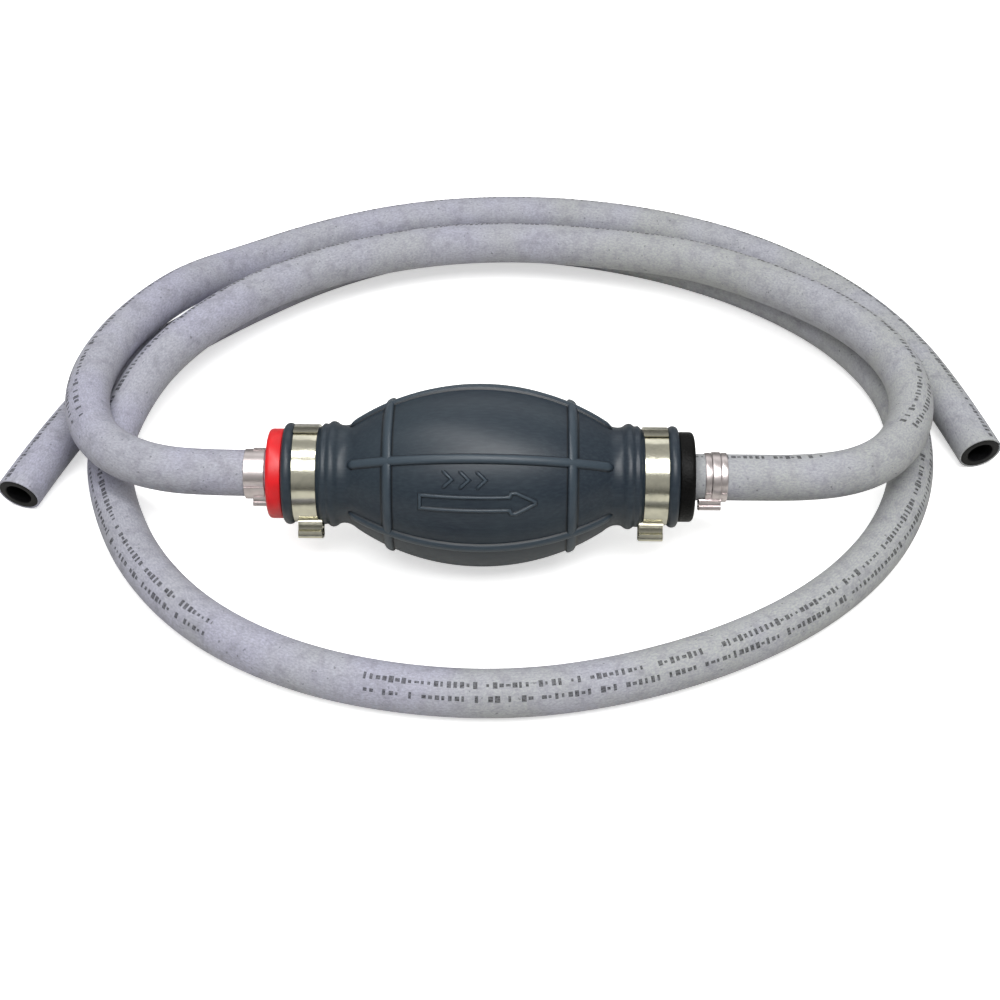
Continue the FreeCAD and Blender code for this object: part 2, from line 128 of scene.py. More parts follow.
def follow(route):
    """Points along the smooth spline that a route's corners control."""
    curve = bpy.data.curves.new("line", "CURVE")
    curve.dimensions = "3D"
    curve.resolution_u = 12
    spline = curve.splines.new("NURBS")
    spline.points.add(len(route) - 1)
    for point, place in zip(spline.points, route):
        point.co = (*place, 1)
    spline.order_u = 3
    spline.use_endpoint_u = True
    holder = bpy.data.objects.new("line", curve)
    line = bpy.data.meshes.new_from_object(holder)
    points = [vertex.co.copy() for vertex in line.vertices]
    bpy.data.objects.remove(holder)
    bpy.data.meshes.remove(line)
    return points


def finished(name, bm, smooth=35):
    """The mesh as an object at the origin, normals outwards, smooth up to an angle in degrees."""
    bmesh.ops.recalc_face_normals(bm, faces=bm.faces)
    mesh = bpy.data.meshes.new(name)
    bm.to_mesh(mesh)
    bm.free()
    mesh.shade_smooth()
    mesh.set_sharp_from_angle(angle=math.radians(smooth))
    made = bpy.data.objects.new(name, mesh)
    bpy.context.scene.collection.objects.link(made)
    return made


def hose_layer(name, points, outer, inner, handed, slant, edge, sides=44):
    """A tube along points; handed is the side, of the way it runs, that faces out of the loop.

    The UV map holds the distance along the hose and the distance round it from the top towards
    the outside of the loop, both in metres.
    """
    bm = bmesh.new()
    layer = bm.loops.layers.uv.new("along")
    travelled = [0.0]
    for a, b in zip(points, points[1:]):
        travelled.append(travelled[-1] + (b - a).length)
    last = len(points) - 1
    frames = []
    for i, point in enumerate(points):
        way = (points[min(i + 1, last)] - points[max(i - 1, 0)]).normalized()
        out = way.cross(Vector((0, 0, 1))).normalized() * handed
        up = (out.cross(way) * handed).normalized()
        frames.append((point, way, out, up, travelled[i]))

    def ring(at, radius, shift):
        point, way, out, up, distance = at
        made = []
        for j in range(sides):
            angle = -math.pi + 2 * math.pi * j / sides
            lean = slant * radius * math.cos(angle) if at is frames[-1] else 0
            made.append(bm.verts.new(point + way * (shift + lean)
                                     + (up * math.cos(angle) + out * math.sin(angle)) * radius))
        return made, distance + shift

    rings = [ring(at, outer, 0) for at in frames[:-1]]
    rings += [ring(frames[-1], outer, -edge), ring(frames[-1], outer - 0.3 * edge, -0.3 * edge),
              ring(frames[-1], outer - edge, 0), ring(frames[-1], inner + edge, 0),
              ring(frames[-1], inner, -edge)]
    rings += [ring(at, inner, 0) for at in reversed(frames[:-1])]
    rings.append(rings[0])
    step = 2 * math.pi / sides * outer
    for (low, low_at), (high, high_at) in zip(rings, rings[1:]):
        for j in range(sides):
            k = (j + 1) % sides
            face = bm.faces.new((low[j], low[k], high[k], high[j]))
            across = [(j - sides / 2) * step, (j + 1 - sides / 2) * step]
            places = [(low_at, across[0]), (low_at, across[1]),
                      (high_at, across[1]), (high_at, across[0])]
            for corner, place in zip(face.loops, places):
                corner[layer].uv = place
    return finished(name, bm)


def colour(text):
    """Linear RGBA from an sRGB hex colour."""
    parts = [int(text[i:i + 2], 16) / 255 for i in (1, 3, 5)]
    return [p / 12.92 if p <= 0.04045 else ((p + 0.055) / 1.055) ** 2.4 for p in parts] + [1]


def add(tree, kind, links=(), **settings):
    """A node with its settings; links go from a node, a socket or a constant into an input."""
    made = tree.nodes.new("ShaderNode" + kind)
    for name, value in settings.items():
        setattr(made, name, value)
    for into, source in dict(links).items():
        if isinstance(source, bpy.types.Node):
            # A Mix node's colour is its third output. Of any other node the first is meant.
            source = source.outputs[2 if source.bl_idname == "ShaderNodeMix" else 0]
        if isinstance(source, bpy.types.NodeSocket):
            tree.links.new(source, made.inputs[into])
        else:
            made.inputs[into].default_value = source
    return made


def material(name):
    """An empty material and its node tree."""
    made = bpy.data.materials.new(name)
    made.use_nodes = True
    made.node_tree.nodes.clear()
    return made, made.node_tree


# The ink, in millimetres: the middle of each row round the hose from its top, and the length of
# the cell that holds one dash. The second row starts that many cells on, and this share is empty.
INK_ROWS = (7.9, 3.4)
DASH_CELL, CELLS_ON, EMPTY_SHARE = 2.05, 311.3, 0.13


def hose_cover(name, blanks, turned):
    """Grey nitrile cover: dull, with a cloth mark, dark specks and two rows of plain ink dashes.

    The rows leave out each blank stretch (from, to) and start turned back by a distance round
    the hose, which is gone 120 mm along. All are in millimetres.
    """
    made, tree = material(name)
    line = add(tree, "UVMap", uv_map="along")
    parts = add(tree, "SeparateXYZ", {0: line}).outputs
    along = add(tree, "Math", {0: parts[0], 1: 1000}, operation="MULTIPLY")
    across = add(tree, "Math", {0: parts[1], 1: 1000}, operation="MULTIPLY")
    place = add(tree, "TexCoord").outputs["Object"]

    # Clouds 45 mm across, on a painted tint of light that runs from a cooler grey at -X to a plain one at
    # +X.
    broad = add(tree, "TexNoise", {0: place, "Scale": 22, "Detail": 3, "Roughness": 0.6})
    clouds = add(tree, "MapRange", {0: broad, 1: 0.4, 2: 0.6, 3: -0.3, 4: 0.3})
    x = add(tree, "SeparateXYZ", {0: place}).outputs[0]
    sideways = add(tree, "MapRange", {0: x, 1: -0.17, 2: 0.17})
    clouds_and_light_cast = add(tree, "Math", {0: clouds, 1: sideways}, operation="ADD")
    clouds_and_light_cast = add(tree, "MapRange", {0: clouds_and_light_cast, 1: 0, 2: 1})
    tint = add(tree, "Mix", {0: clouds_and_light_cast, 6: colour("#AAAABE"), 7: colour("#A8ABA8")}, data_type="RGBA")

    # The mark of the cloth that it was cured in, 1.1 mm along by 0.7 mm round.
    wrap = add(tree, "VectorMath", {0: line, 1: (900, 1500, 1)}, operation="MULTIPLY")
    cloth = add(tree, "TexNoise", {0: wrap, "Scale": 1, "Detail": 3, "Roughness": 0.65})
    threads = add(tree, "MapRange", {0: cloth, 1: 0.3, 2: 0.72})
    tint = add(tree, "Mix", {0: threads, 6: tint, 7: colour("#8B8B93")}, data_type="RGBA")

    # Grubby patches 5 mm across, and darker specks of 1.6 mm.
    patch = add(tree, "TexNoise", {0: place, "Scale": 190, "Detail": 4, "Roughness": 0.7})
    grubby = add(tree, "MapRange", {0: patch, 1: 0.48, 2: 0.72, 3: 0, 4: 0.6})
    tint = add(tree, "Mix", {0: grubby, 6: tint, 7: colour("#76767F")}, data_type="RGBA")
    speck = add(tree, "TexNoise", {0: place, "Scale": 620, "Detail": 1})
    spots = add(tree, "MapRange", {0: speck, 1: 0.72, 2: 0.77, 3: 0, 4: 0.5})
    tint = add(tree, "Mix", {0: spots, 6: tint, 7: colour("#434347")}, data_type="RGBA")

    # A chance drawn for each cell settles whether it holds a dash, and the dash's length and width.
    back = add(tree, "MapRange", {0: along, 1: 45, 2: 120, 3: turned, 4: 0})
    level = add(tree, "Math", {0: across, 1: back}, operation="SUBTRACT")
    ink = None
    for row, centre in enumerate(INK_ROWS):
        cell = add(tree, "Math", {0: along, 1: DASH_CELL}, operation="DIVIDE")
        cell = add(tree, "Math", {0: cell, 1: CELLS_ON * row}, operation="ADD")
        number = add(tree, "Math", {0: cell}, operation="FLOOR")
        chance = add(tree, "TexWhiteNoise", {"W": number}, noise_dimensions="1D")
        other = add(tree, "Math", {0: chance, 1: 7}, operation="MULTIPLY")
        other = add(tree, "Math", {0: other}, operation="FRACT")
        half_width = add(tree, "MapRange", {0: other, 1: 0, 2: 1, 3: 0.4, 4: 1.25})
        off = add(tree, "Math", {0: level, 1: centre}, operation="SUBTRACT")
        off = add(tree, "Math", {0: off}, operation="ABSOLUTE")
        mark = add(tree, "Math", {0: off, 1: half_width}, operation="LESS_THAN")
        held = add(tree, "Math", {0: chance, 1: EMPTY_SHARE}, operation="GREATER_THAN")
        mark = add(tree, "Math", {0: mark, 1: held}, operation="MULTIPLY")
        reached = add(tree, "Math", {0: cell}, operation="FRACT")
        dash = add(tree, "MapRange", {0: chance, 1: EMPTY_SHARE, 2: 1, 3: 0.35, 4: 0.8})
        within = add(tree, "Math", {0: reached, 1: dash}, operation="LESS_THAN")
        mark = add(tree, "Math", {0: mark, 1: within}, operation="MULTIPLY")
        ink = mark if ink is None else add(tree, "Math", {0: ink, 1: mark}, operation="MAXIMUM")
    for start, stop in blanks:
        away = add(tree, "Math", {0: along, 1: (start + stop) / 2}, operation="SUBTRACT")
        away = add(tree, "Math", {0: away}, operation="ABSOLUTE")
        inked = add(tree, "Math", {0: away, 1: (stop - start) / 2}, operation="GREATER_THAN")
        ink = add(tree, "Math", {0: ink, 1: inked}, operation="MULTIPLY")
    worn = add(tree, "MapRange", {0: cloth, 1: 0.35, 2: 0.65, 3: 0.95, 4: 0.5})
    ink = add(tree, "Math", {0: ink, 1: worn}, operation="MULTIPLY")
    tint = add(tree, "Mix", {0: ink, 6: tint, 7: colour("#1B1B1E")}, data_type="RGBA")

    bump = add(tree, "Bump", {"Strength": 0.5, "Distance": 0.00012, "Height": cloth})
    shader = add(tree, "BsdfPrincipled", {"Base Color": tint, "Roughness": 0.62,
                                          "Specular IOR Level": 0.3, "Normal": bump})
    add(tree, "OutputMaterial", {"Surface": shader})
    return made


# Extruded barrier rubber: near black and dull, with a grain of about 1 mm.
liner_finish, tree = material("black barrier rubber")
place = add(tree, "TexCoord").outputs["Object"]
grain = add(tree, "TexNoise", {0: place, "Scale": 900, "Detail": 3})
uneven = add(tree, "MapRange", {0: grain, 1: 0.35, 2: 0.7})
tint = add(tree, "Mix", {0: uneven, 6: colour("#08080A"), 7: colour("#141416")}, data_type="RGBA")
shader = add(tree, "BsdfPrincipled", {"Base Color": tint, "Roughness": 0.6, "Specular IOR Level": 0.25})
add(tree, "OutputMaterial", {"Surface": shader})

for side, route, handed, slant, blanks, turned in (
        ("inlet", INLET_ROUTE, -1, 0.22, [(0, 75)], 0),
        ("outlet", OUTLET_ROUTE, 1, 0.24, OUTLET_BLANKS, -9.6)):
    points = follow(route)
    cover = hose_layer(side + "_hose_cover", points, COVER_RADIUS, COVER_BORE, handed, slant,
                       0.00025)
    cover.data.materials.append(hose_cover(side + " grey hose cover", blanks, turned))
    liner = hose_layer(side + "_barrier_tube", points, TUBE_RADIUS, TUBE_BORE, handed, slant,
                       0.0002)
    liner.data.materials.append(liner_finish)
    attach(cover, "line")
    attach(liner, "line")
    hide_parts(side + "_hose")
    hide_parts(side + "_hose_liner")


# ---- Squeeze bulb -------------------------------------------------------------------------------
# One hollow rubber moulding: a rounded belly with six long ribs and two ring ribs, a raised
# flow arrow with three chevrons, and two beaded necks. Its top dents when it is squeezed.

# In millimetres: the axis above the floor, the belly's radius and that of its curve, the wall.
AXIS_Z = 31.5
BELLY, BELLY_ARC, WALL = 31.5, 77.0, 3.0


def belly(x, depth=0.0):
    """The belly's radius at a distance along the axis, less a depth under the skin."""
    return BELLY - BELLY_ARC + math.sqrt((BELLY_ARC - depth) ** 2 - x * x)


def on_axis(x, radius, elevation):
    """A point round the bulb's axis; elevation is from the front, upwards, in radians."""
    return Vector((x, -radius * math.cos(elevation),
                   AXIS_Z + radius * math.sin(elevation))) * MM


def lathe(bm, profile, sides):
    """A closed outline of (along, radius) turned about the axis."""
    corners = [bm.verts.new(on_axis(x, r, 0)) for x, r in profile]
    edges = [bm.edges.new(pair) for pair in zip(corners, corners[1:] + corners[:1])]
    bmesh.ops.spin(bm, geom=corners + edges, cent=(0, 0, AXIS_Z * MM), axis=(1, 0, 0),
                   angle=math.tau, steps=sides, use_merge=True)


def standing(height, top, steepness=2.4):
    """How far a point is raised: -1 at a ridge's base, 0 half-way up, 1 on top; it places painted shade and
    highlight.
    """
    return max(-1.0, min(1.0, steepness * (height / top - 0.5)))


def relief(bm, rows, middle, top):
    """Strips of (along, round, height) rows laid on the belly about an elevation."""
    raised = bm.verts.layers.float["raised"]
    made = []
    for row in rows:
        made.append([])
        for x, s, h in row:
            vert = bm.verts.new(on_axis(x, belly(x) + h, middle + s / belly(x)))
            vert[raised] = standing(h, top)
            made[-1].append(vert)
    for low, high in zip(made, made[1:]):
        for a, b, c, d in zip(low, low[1:], high[1:], high):
            bm.faces.new((a, b, c, d))


def stroke(bm, corners, middle, width, height, closed):
    """A rounded ridge along a line of (along, round) corners on the belly, sunk at open ends."""
    points = [Vector(c) for c in corners]
    dense = []
    pairs = list(zip(points, points[1:] + points[:1])) if closed else list(zip(points, points[1:]))
    for a, b in pairs:
        parts = max(1, int((b - a).length / 1.5))
        dense += [a.lerp(b, i / parts) for i in range(parts)]
    if not closed:
        dense.append(points[-1])
    sunk = -0.3
    shape = [(-0.72, sunk), (-0.5, 0.3), (-0.28, 0.85), (0, 1), (0.28, 0.85), (0.5, 0.3),
             (0.72, sunk)]
    count = len(dense)
    rows = []
    for i, point in enumerate(dense):
        before = dense[i - 1] if closed or i else point
        after = dense[(i + 1) % count] if closed or i < count - 1 else point
        one, two = (point - before), (after - point)
        one = (one if one.length else two).normalized()
        two = (two if two.length else one).normalized()
        across = Vector((-(one + two).y, (one + two).x)).normalized()
        across /= max(0.4, across.dot(Vector((-one.y, one.x))))
        inner = closed or 0 < i < count - 1
        rows.append([(*(point + across * s * width), (h if inner else sunk) * height)
                     for s, h in shape])
    if closed:
        rows.append(rows[0])
    relief(bm, rows, middle, height)


# The outline from the middle to one lip: the belly, its ring rib, the neck's beads and the lip,
# then back along the inside.
half = [(i * 1.45, belly(i * 1.45)) for i in range(20)]
RING_X, RING_HIGH = 31, 1.18
ring_rib = [(-2.4, 0.0), (-1.8, 0.0), (-1.5, 0.5), (-1.15, 0.92), (-0.6, 1.12), (0, RING_HIGH),
            (0.6, 1.12), (1.15, 0.92), (1.5, 0.5), (1.8, 0.0), (2.4, 0.0)]
half += [(RING_X + dx, belly(RING_X + dx) + h) for dx, h in ring_rib]
half += [(x, belly(x)) for x in (34.5, 36, 37.5, 39, 40.5, 42)]
half += [(43.4, 17.95), (44.6, 17.3), (45.6, 16.98), (46.8, 16.85), (47.8, 16.95), (48.5, 17.25),
         (49.2, 17.8), (49.9, 18.12), (50.6, 18.25), (51.3, 18.1), (51.9, 17.7), (52.3, 17.35),
         (52.8, 17.3), (53.2, 17.42), (53.7, 17.4), (54.1, 17.1), (54.6, 16.6), (55.0, 16.15),
         (55.4, 16.0), (59.5, 16.0), (63.5, 16.0), (63.75, 16.2), (63.95, 16.7), (64.5, 17.25),
         (65.2, 17.48), (65.9, 17.48), (66.6, 17.25), (67.1, 16.75), (67.4, 16.1), (67.45, 14.5),
         (67.4, 12.56), (62, 12.56), (55, 12.56), (48, 12.56), (45.5, 13.2)]
half += [(x, belly(x, WALL)) for x in (42, 38, 34, 30, 25, 20, 15, 10, 5)]
outline = half + [(0, BELLY - WALL)] + [(-x, r) for x, r in reversed(half[1:])]
bm = bmesh.new()
raised = bm.verts.layers.float.new("raised")
lathe(bm, outline, 160)
# The ring rib's height is kept in the mesh to place painted shade and a painted highlight on it.
for vert in bm.verts:
    x = abs(vert.co.x) / MM
    radius = math.hypot(vert.co.y, vert.co.z - AXIS_Z * MM) / MM
    if abs(x - RING_X) < 1.9 and radius > belly(x) - 0.1:
        vert[raised] = standing(radius - belly(x), RING_HIGH)

# Six long ribs, which narrow and sink into the belly over their rounded ends.
RIB_HIGH, FIRST_RIB = 1.28, 51
ROUND_FROM, ROUND_OVER = 42.6, 2.45
rib_shape = [(-2.15, -0.4), (-1.8, 0.0), (-1.52, 0.55), (-1.2, 1.0), (-0.7, 1.2), (0, RIB_HIGH),
             (0.7, 1.2), (1.2, 1.0), (1.52, 0.55), (1.8, 0.0), (2.15, -0.4)]
stations = [-45, -44.8, -44.4, -43.8, -43] + [2.0 * i for i in range(-21, 22)] + [
    43, 43.8, 44.4, 44.8, 45]
for k in range(6):
    rows = []
    for x in stations:
        close = max(0.0, (abs(x) - ROUND_FROM) / ROUND_OVER)
        narrow = math.sqrt(max(0.0, 1 - close * close))
        rows.append([(x, s * max(narrow, 0.15), h * narrow - 0.35 * (1 - narrow))
                     for s, h in rib_shape])
    relief(bm, rows, math.radians(FIRST_RIB + 60 * k), RIB_HIGH)

# The arrow's outline and the three chevrons above it, on the front.
FRONT = math.radians(23.5)
stroke(bm, [(-19.7, -2.25), (10.1, -2.25), (10.6, -3.5), (12.2, -3.6), (18.6, -0.35),
            (18.6, 0.35), (12.2, 3.6), (10.6, 3.5), (10.1, 2.25), (-19.7, 2.25)],
       FRONT, 1.25, 0.8, True)
for start in (-12.6, -7.0, -1.4):
    stroke(bm, [(start, 4.7), (start + 3.6, 8.0), (start, 11.3)], FRONT, 1.15, 0.75, False)
bulb = finished("squeeze_bulb", bm, 60)

# Moulded nitrile rubber: slate black with a soft sheen, with painted shade beside each ridge and a painted
# highlight, a greyer tone, on its top. It has clouds of 33 mm, streaks of 4.5 by 0.7 mm and a grain of 0.4
# mm.
rubber, tree = material("moulded black nitrile rubber")
place = add(tree, "TexCoord").outputs["Object"]
broad = add(tree, "TexNoise", {0: place, "Scale": 30, "Detail": 3})
clouds = add(tree, "MapRange", {0: broad, 1: 0.35, 2: 0.65})
tint = add(tree, "Mix", {0: clouds, 6: colour("#1B2530"), 7: colour("#232E37")}, data_type="RGBA")
drawn = add(tree, "VectorMath", {0: place, 1: (220, 1400, 1400)}, operation="MULTIPLY")
streak = add(tree, "TexNoise", {0: drawn, "Scale": 1, "Detail": 2})
streaks = add(tree, "MapRange", {0: streak, 1: 0.4, 2: 0.75, 3: 0, 4: 0.6})
tint = add(tree, "Mix", {0: streaks, 6: tint, 7: colour("#2D3840")}, data_type="RGBA")
height = add(tree, "Attribute", attribute_name="raised").outputs["Fac"]
# Painted shade: near black beside each ridge, where it meets the belly.
painted_shade_by_ridge = add(tree, "MapRange", {0: height, 1: 0, 2: -0.9, 3: 0, 4: 0.85})
tint = add(tree, "Mix", {0: painted_shade_by_ridge, 6: tint, 7: colour("#0C0F12")}, data_type="RGBA")
# Painted highlight: a greyer tone on the top of each ridge.
painted_highlight_on_ridge = add(tree, "MapRange", {0: height, 1: 0.3, 2: 1, 3: 0, 4: 0.6})
tint = add(tree, "Mix", {0: painted_highlight_on_ridge, 6: tint, 7: colour("#3C4852")}, data_type="RGBA")
rough = add(tree, "MapRange", {0: broad, 1: 0.3, 2: 0.7, 3: 0.36, 4: 0.46})
grain = add(tree, "TexNoise", {0: place, "Scale": 2600, "Detail": 2})
bump = add(tree, "Bump", {"Strength": 0.25, "Distance": 0.00004, "Height": grain})
shader = add(tree, "BsdfPrincipled", {"Base Color": tint, "Roughness": rough,
                                      "Specular IOR Level": 0.42, "Normal": bump})
add(tree, "OutputMaterial", {"Surface": shader})
bulb.data.materials.append(rubber)
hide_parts("bulb_body", "bulb_squeeze_panel")
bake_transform(bulb, "line", "squeeze_panel", (0, 0, 0.0485), (0, 0, 0.063))


# ---- End fittings -------------------------------------------------------------------------------
# Moulded plastic ends: a spigot held in the bulb's neck, a thick round flange against its lip,
# and a barb inside the hose. The inlet's is glossy red and the outlet's is grained black.

def fitting(name, side, hollow):
    """One end fitting; side is -1 at the inlet, 1 at the outlet, and hollow is where its cup ends."""
    profile = [(48, 8.5), (48, 12.1), (48.4, 12.5), (67.5, 12.5), (67.55, 15.0), (67.7, 15.35),
               (68.0, 15.5), (71.3, 15.5), (71.9, 15.4), (72.35, 15.1), (72.65, 14.7),
               (72.8, 14.2), (72.85, 13.4), (72.85, 6.4), (72.9, 4.74), (78, 4.74), (78.02, 5.3),
               (81.2, 4.74), (82, 4.74), (82.02, 5.3), (85.2, 4.74), (86, 4.74), (86.02, 5.3),
               (89.3, 4.74), (89.5, 4.5), (89.5, 3.4), (89.3, 3.2), (hollow, 3.2), (hollow, 8.5)]
    bm = bmesh.new()
    lathe(bm, [(side * x, r) for x, r in profile], 96)
    made = finished(name, bm, 40)
    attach(made, "line")
    return made


red = fitting("red_end", -1, 65)
# Moulded plastic with a gloss: a clean red that clouds faintly every 6 mm.
red_finish, tree = material("glossy red plastic")
place = add(tree, "TexCoord").outputs["Object"]
cloud = add(tree, "TexNoise", {0: place, "Scale": 160, "Detail": 2})
shift = add(tree, "MapRange", {0: cloud, 1: 0.35, 2: 0.65})
tint = add(tree, "Mix", {0: shift, 6: colour("#D81019"), 7: colour("#C90D16")}, data_type="RGBA")
rough = add(tree, "MapRange", {0: cloud, 1: 0.3, 2: 0.7, 3: 0.34, 4: 0.42})
shader = add(tree, "BsdfPrincipled", {"Base Color": tint, "Roughness": rough})
add(tree, "OutputMaterial", {"Surface": shader})
red.data.materials.append(red_finish)
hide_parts("inlet_end_fitting")

black = fitting("black_end", 1, 62)
# Plastic from a grained mould: near black and little gloss, pebbled at 0.7 mm.
black_finish, tree = material("grained black plastic")
place = add(tree, "TexCoord").outputs["Object"]
pebble = add(tree, "TexVoronoi", {0: place, "Scale": 1500})
between = add(tree, "MapRange", {0: pebble, 1: 0.1, 2: 0.7})
tint = add(tree, "Mix", {0: between, 6: colour("#020202"), 7: colour("#070707")}, data_type="RGBA")
rough = add(tree, "MapRange", {0: pebble, 1: 0.1, 2: 0.7, 3: 0.32, 4: 0.5})
bump = add(tree, "Bump", {"Strength": 0.8, "Distance": 0.0001, "Height": pebble})
shader = add(tree, "BsdfPrincipled", {"Base Color": tint, "Roughness": rough,
                                      "Specular IOR Level": 0.12, "Normal": bump})
add(tree, "OutputMaterial", {"Surface": shader})
black.data.materials.append(black_finish)
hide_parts("outlet_end_fitting")


# ---- Ear clamps ---------------------------------------------------------------------------------
# Rolled stainless strip: each clamp is a band with its outer end lapped over it, and a hollow
# crimped ear that stands out below the front. The outlet's narrow one is ridged.

def strip(bm, path, section):
    """An open strip of metal along a path of (elevation, radius) about the axis.

    The section is a closed list of (along, outwards) corners.
    """
    rings = [[bm.verts.new(on_axis(x, radius + h, elevation)) for x, h in section]
             for elevation, radius in path]
    for low, high in zip(rings, rings[1:]):
        for j in range(len(section)):
            k = (j + 1) % len(section)
            bm.faces.new((low[j], low[k], high[k], high[j]))
    bm.faces.new(rings[0])
    bm.faces.new(rings[-1])


def band(bm, inner, section, sides=128):
    """A closed ring of metal about the axis with a section of (along, outwards) corners."""
    lathe(bm, [(x, inner + h) for x, h in section], sides)


def bent(bm, corners, middle, base, thick, start, width, bevel=0.12):
    """A strip bent along corners of (sideways, outwards) at an elevation, thickness centred."""
    points = [Vector(c) for c in corners]
    rings = []
    for i, point in enumerate(points):
        one = (point - points[max(i - 1, 0)])
        two = (points[min(i + 1, len(points) - 1)] - point)
        one = (one if one.length else two).normalized()
        two = (two if two.length else one).normalized()
        across = Vector((-(one + two).y, (one + two).x)).normalized()
        across /= max(0.5, across.dot(Vector((-one.y, one.x))))
        ring = []
        under, over, end = -thick / 2, thick / 2, start + width
        for x, h in ((start, under + bevel), (start + bevel, under), (end - bevel, under),
                     (end, under + bevel), (end, over - bevel), (end - bevel, over),
                     (start + bevel, over), (start, over - bevel)):
            flat = point + across * h
            reach = math.hypot(base + flat.y, flat.x)
            ring.append(bm.verts.new(on_axis(x, reach, middle + math.atan2(flat.x, base + flat.y))))
        rings.append(ring)
    for low, high in zip(rings, rings[1:]):
        for j in range(8):
            k = (j + 1) % 8
            bm.faces.new((low[j], low[k], high[k], high[j]))
    bm.faces.new(rings[0])
    bm.faces.new(rings[-1])


def flat_section(start, width, thick, bevel=0.14):
    """A flat strip's section of (along, outwards) corners, with its edges taken off."""
    end = start + width
    return [(start, bevel), (start, thick - bevel), (start + bevel, thick), (end - bevel, thick),
            (end, thick - bevel), (end, bevel), (end - bevel, 0), (start + bevel, 0)]


def arc(first, last, radius, steps, lift=0.0):
    """A path of (elevation, radius) that stands out by lift at first, and lies flat four steps on."""
    path = []
    for i in range(steps + 1):
        near = max(0.0, 1 - i / 4)
        path.append((math.radians(first + (last - first) * i / steps), radius + lift * near))
    return path


EAR_AT = -50


def ear(bm, radius, thick, half, out, start, width):
    """A hollow crimped ear, pinched in below its head, whose feet follow the band's circle."""
    feet = [(-x, math.sqrt(radius ** 2 - x ** 2) - radius) for x in (half + 0.9, 1.05 * half)]
    corners = feet + [(-0.8 * half, 0.38 * out), (-0.8 * half, 0.48 * out), (-half, 0.62 * out),
                      (-half, 0.8 * out), (-0.94 * half, 0.93 * out), (-0.82 * half, out),
                      (0, 1.02 * out)]
    corners += [(-x, y) for x, y in reversed(corners[:-1])]
    bent(bm, corners, math.radians(EAR_AT), radius, thick, start, width)


# The two wide clamps, whose laps run from the back over to just short of the top.
WIDE_BORE, WIDE_BAND, WIDE_LAP = 16.05, 8.3, 16.68
wide = []
for name, start, lap_from, lap_end, ear_from in (
        ("inlet_wide_clamp", -63.8, -63.9, 95, -62.5),
        ("outlet_wide_clamp", 55.5, 55.3, 94, 54.2)):
    bm = bmesh.new()
    band(bm, WIDE_BORE, flat_section(start, WIDE_BAND, 0.6))
    strip(bm, arc(lap_end, 300, WIDE_LAP, 70, 0.25), flat_section(lap_from, 8.5, 0.45, 0.1))
    ear(bm, 16.9, 0.7, 4.2, 4.9, ear_from, WIDE_BAND)
    wide.append(finished(name, bm, 40))

# The inlet's narrow clamp is flat, with a narrow tail at the top and a wide one over the front.
NARROW_BORE, NARROW_LAP = 8.04, 8.44
bm = bmesh.new()
band(bm, NARROW_BORE, flat_section(-81.1, 7.1, 0.4), 96)
strip(bm, arc(110, 182, 8.42, 24, 0.12), flat_section(-78.2, 4.4, 0.4, 0.1))
strip(bm, arc(7, -50, NARROW_LAP, 24, 0.15), flat_section(-80.9, 7.0, 0.4, 0.1))
ear(bm, 8.6, 0.5, 2.9, 2.5, -78.2, 5.2)
flat_narrow = finished("inlet_narrow_clamp", bm, 40)

# The outlet's narrow clamp has a raised middle and two short tails on its shoulders.
RIDGED_FROM = 76.7
bm = bmesh.new()
ridged = [(0, 0.12), (0.05, 0.34), (0.3, 0.46), (1.6, 0.46), (1.95, 0.3), (2.1, 0.3), (2.4, 0.62),
          (2.7, 0.7), (4.9, 0.7), (5.2, 0.62), (5.5, 0.3), (5.65, 0.3), (6.0, 0.46), (7.3, 0.46),
          (7.55, 0.34), (7.6, 0.12), (7.4, 0), (0.2, 0)]
band(bm, NARROW_BORE, [(RIDGED_FROM + x, h) for x, h in ridged], 96)
for start in (77.0, 82.35):
    strip(bm, arc(1, -6, NARROW_LAP, 6), flat_section(start, 1.7, 0.35, 0.12))
ear(bm, 8.6, 0.5, 2.9, 2.5, 74.7, 7.6)
ridged_narrow = finished("outlet_narrow_clamp", bm, 40)


def steel(name, one, two, smoothest, roughest, wave):
    """Stainless strip: a hard gloss broken by rolling lines 0.3 mm apart and waves of 6 mm."""
    made, tree = material(name)
    place = add(tree, "TexCoord").outputs["Object"]
    cloud = add(tree, "TexNoise", {0: place, "Scale": 170, "Detail": 3, "Roughness": 0.6})
    shift = add(tree, "MapRange", {0: cloud, 1: 0.35, 2: 0.65})
    tint = add(tree, "Mix", {0: shift, 6: colour(one), 7: colour(two)}, data_type="RGBA")
    rough = add(tree, "MapRange", {0: cloud, 1: 0.3, 2: 0.7, 3: smoothest, 4: roughest})
    rolled = add(tree, "VectorMath", {0: place, 1: (3200, 160, 160)}, operation="MULTIPLY")
    lines = add(tree, "TexNoise", {0: rolled, "Scale": 1, "Detail": 3})
    fine = add(tree, "Bump", {"Strength": 0.15, "Distance": 0.00003, "Height": lines})
    waves = add(tree, "Bump", {"Strength": wave, "Distance": 0.0004, "Height": cloud, "Normal": fine})
    shader = add(tree, "BsdfPrincipled", {"Base Color": tint, "Roughness": rough, "Metallic": 1,
                                          "Normal": waves})
    add(tree, "OutputMaterial", {"Surface": shader})
    return made


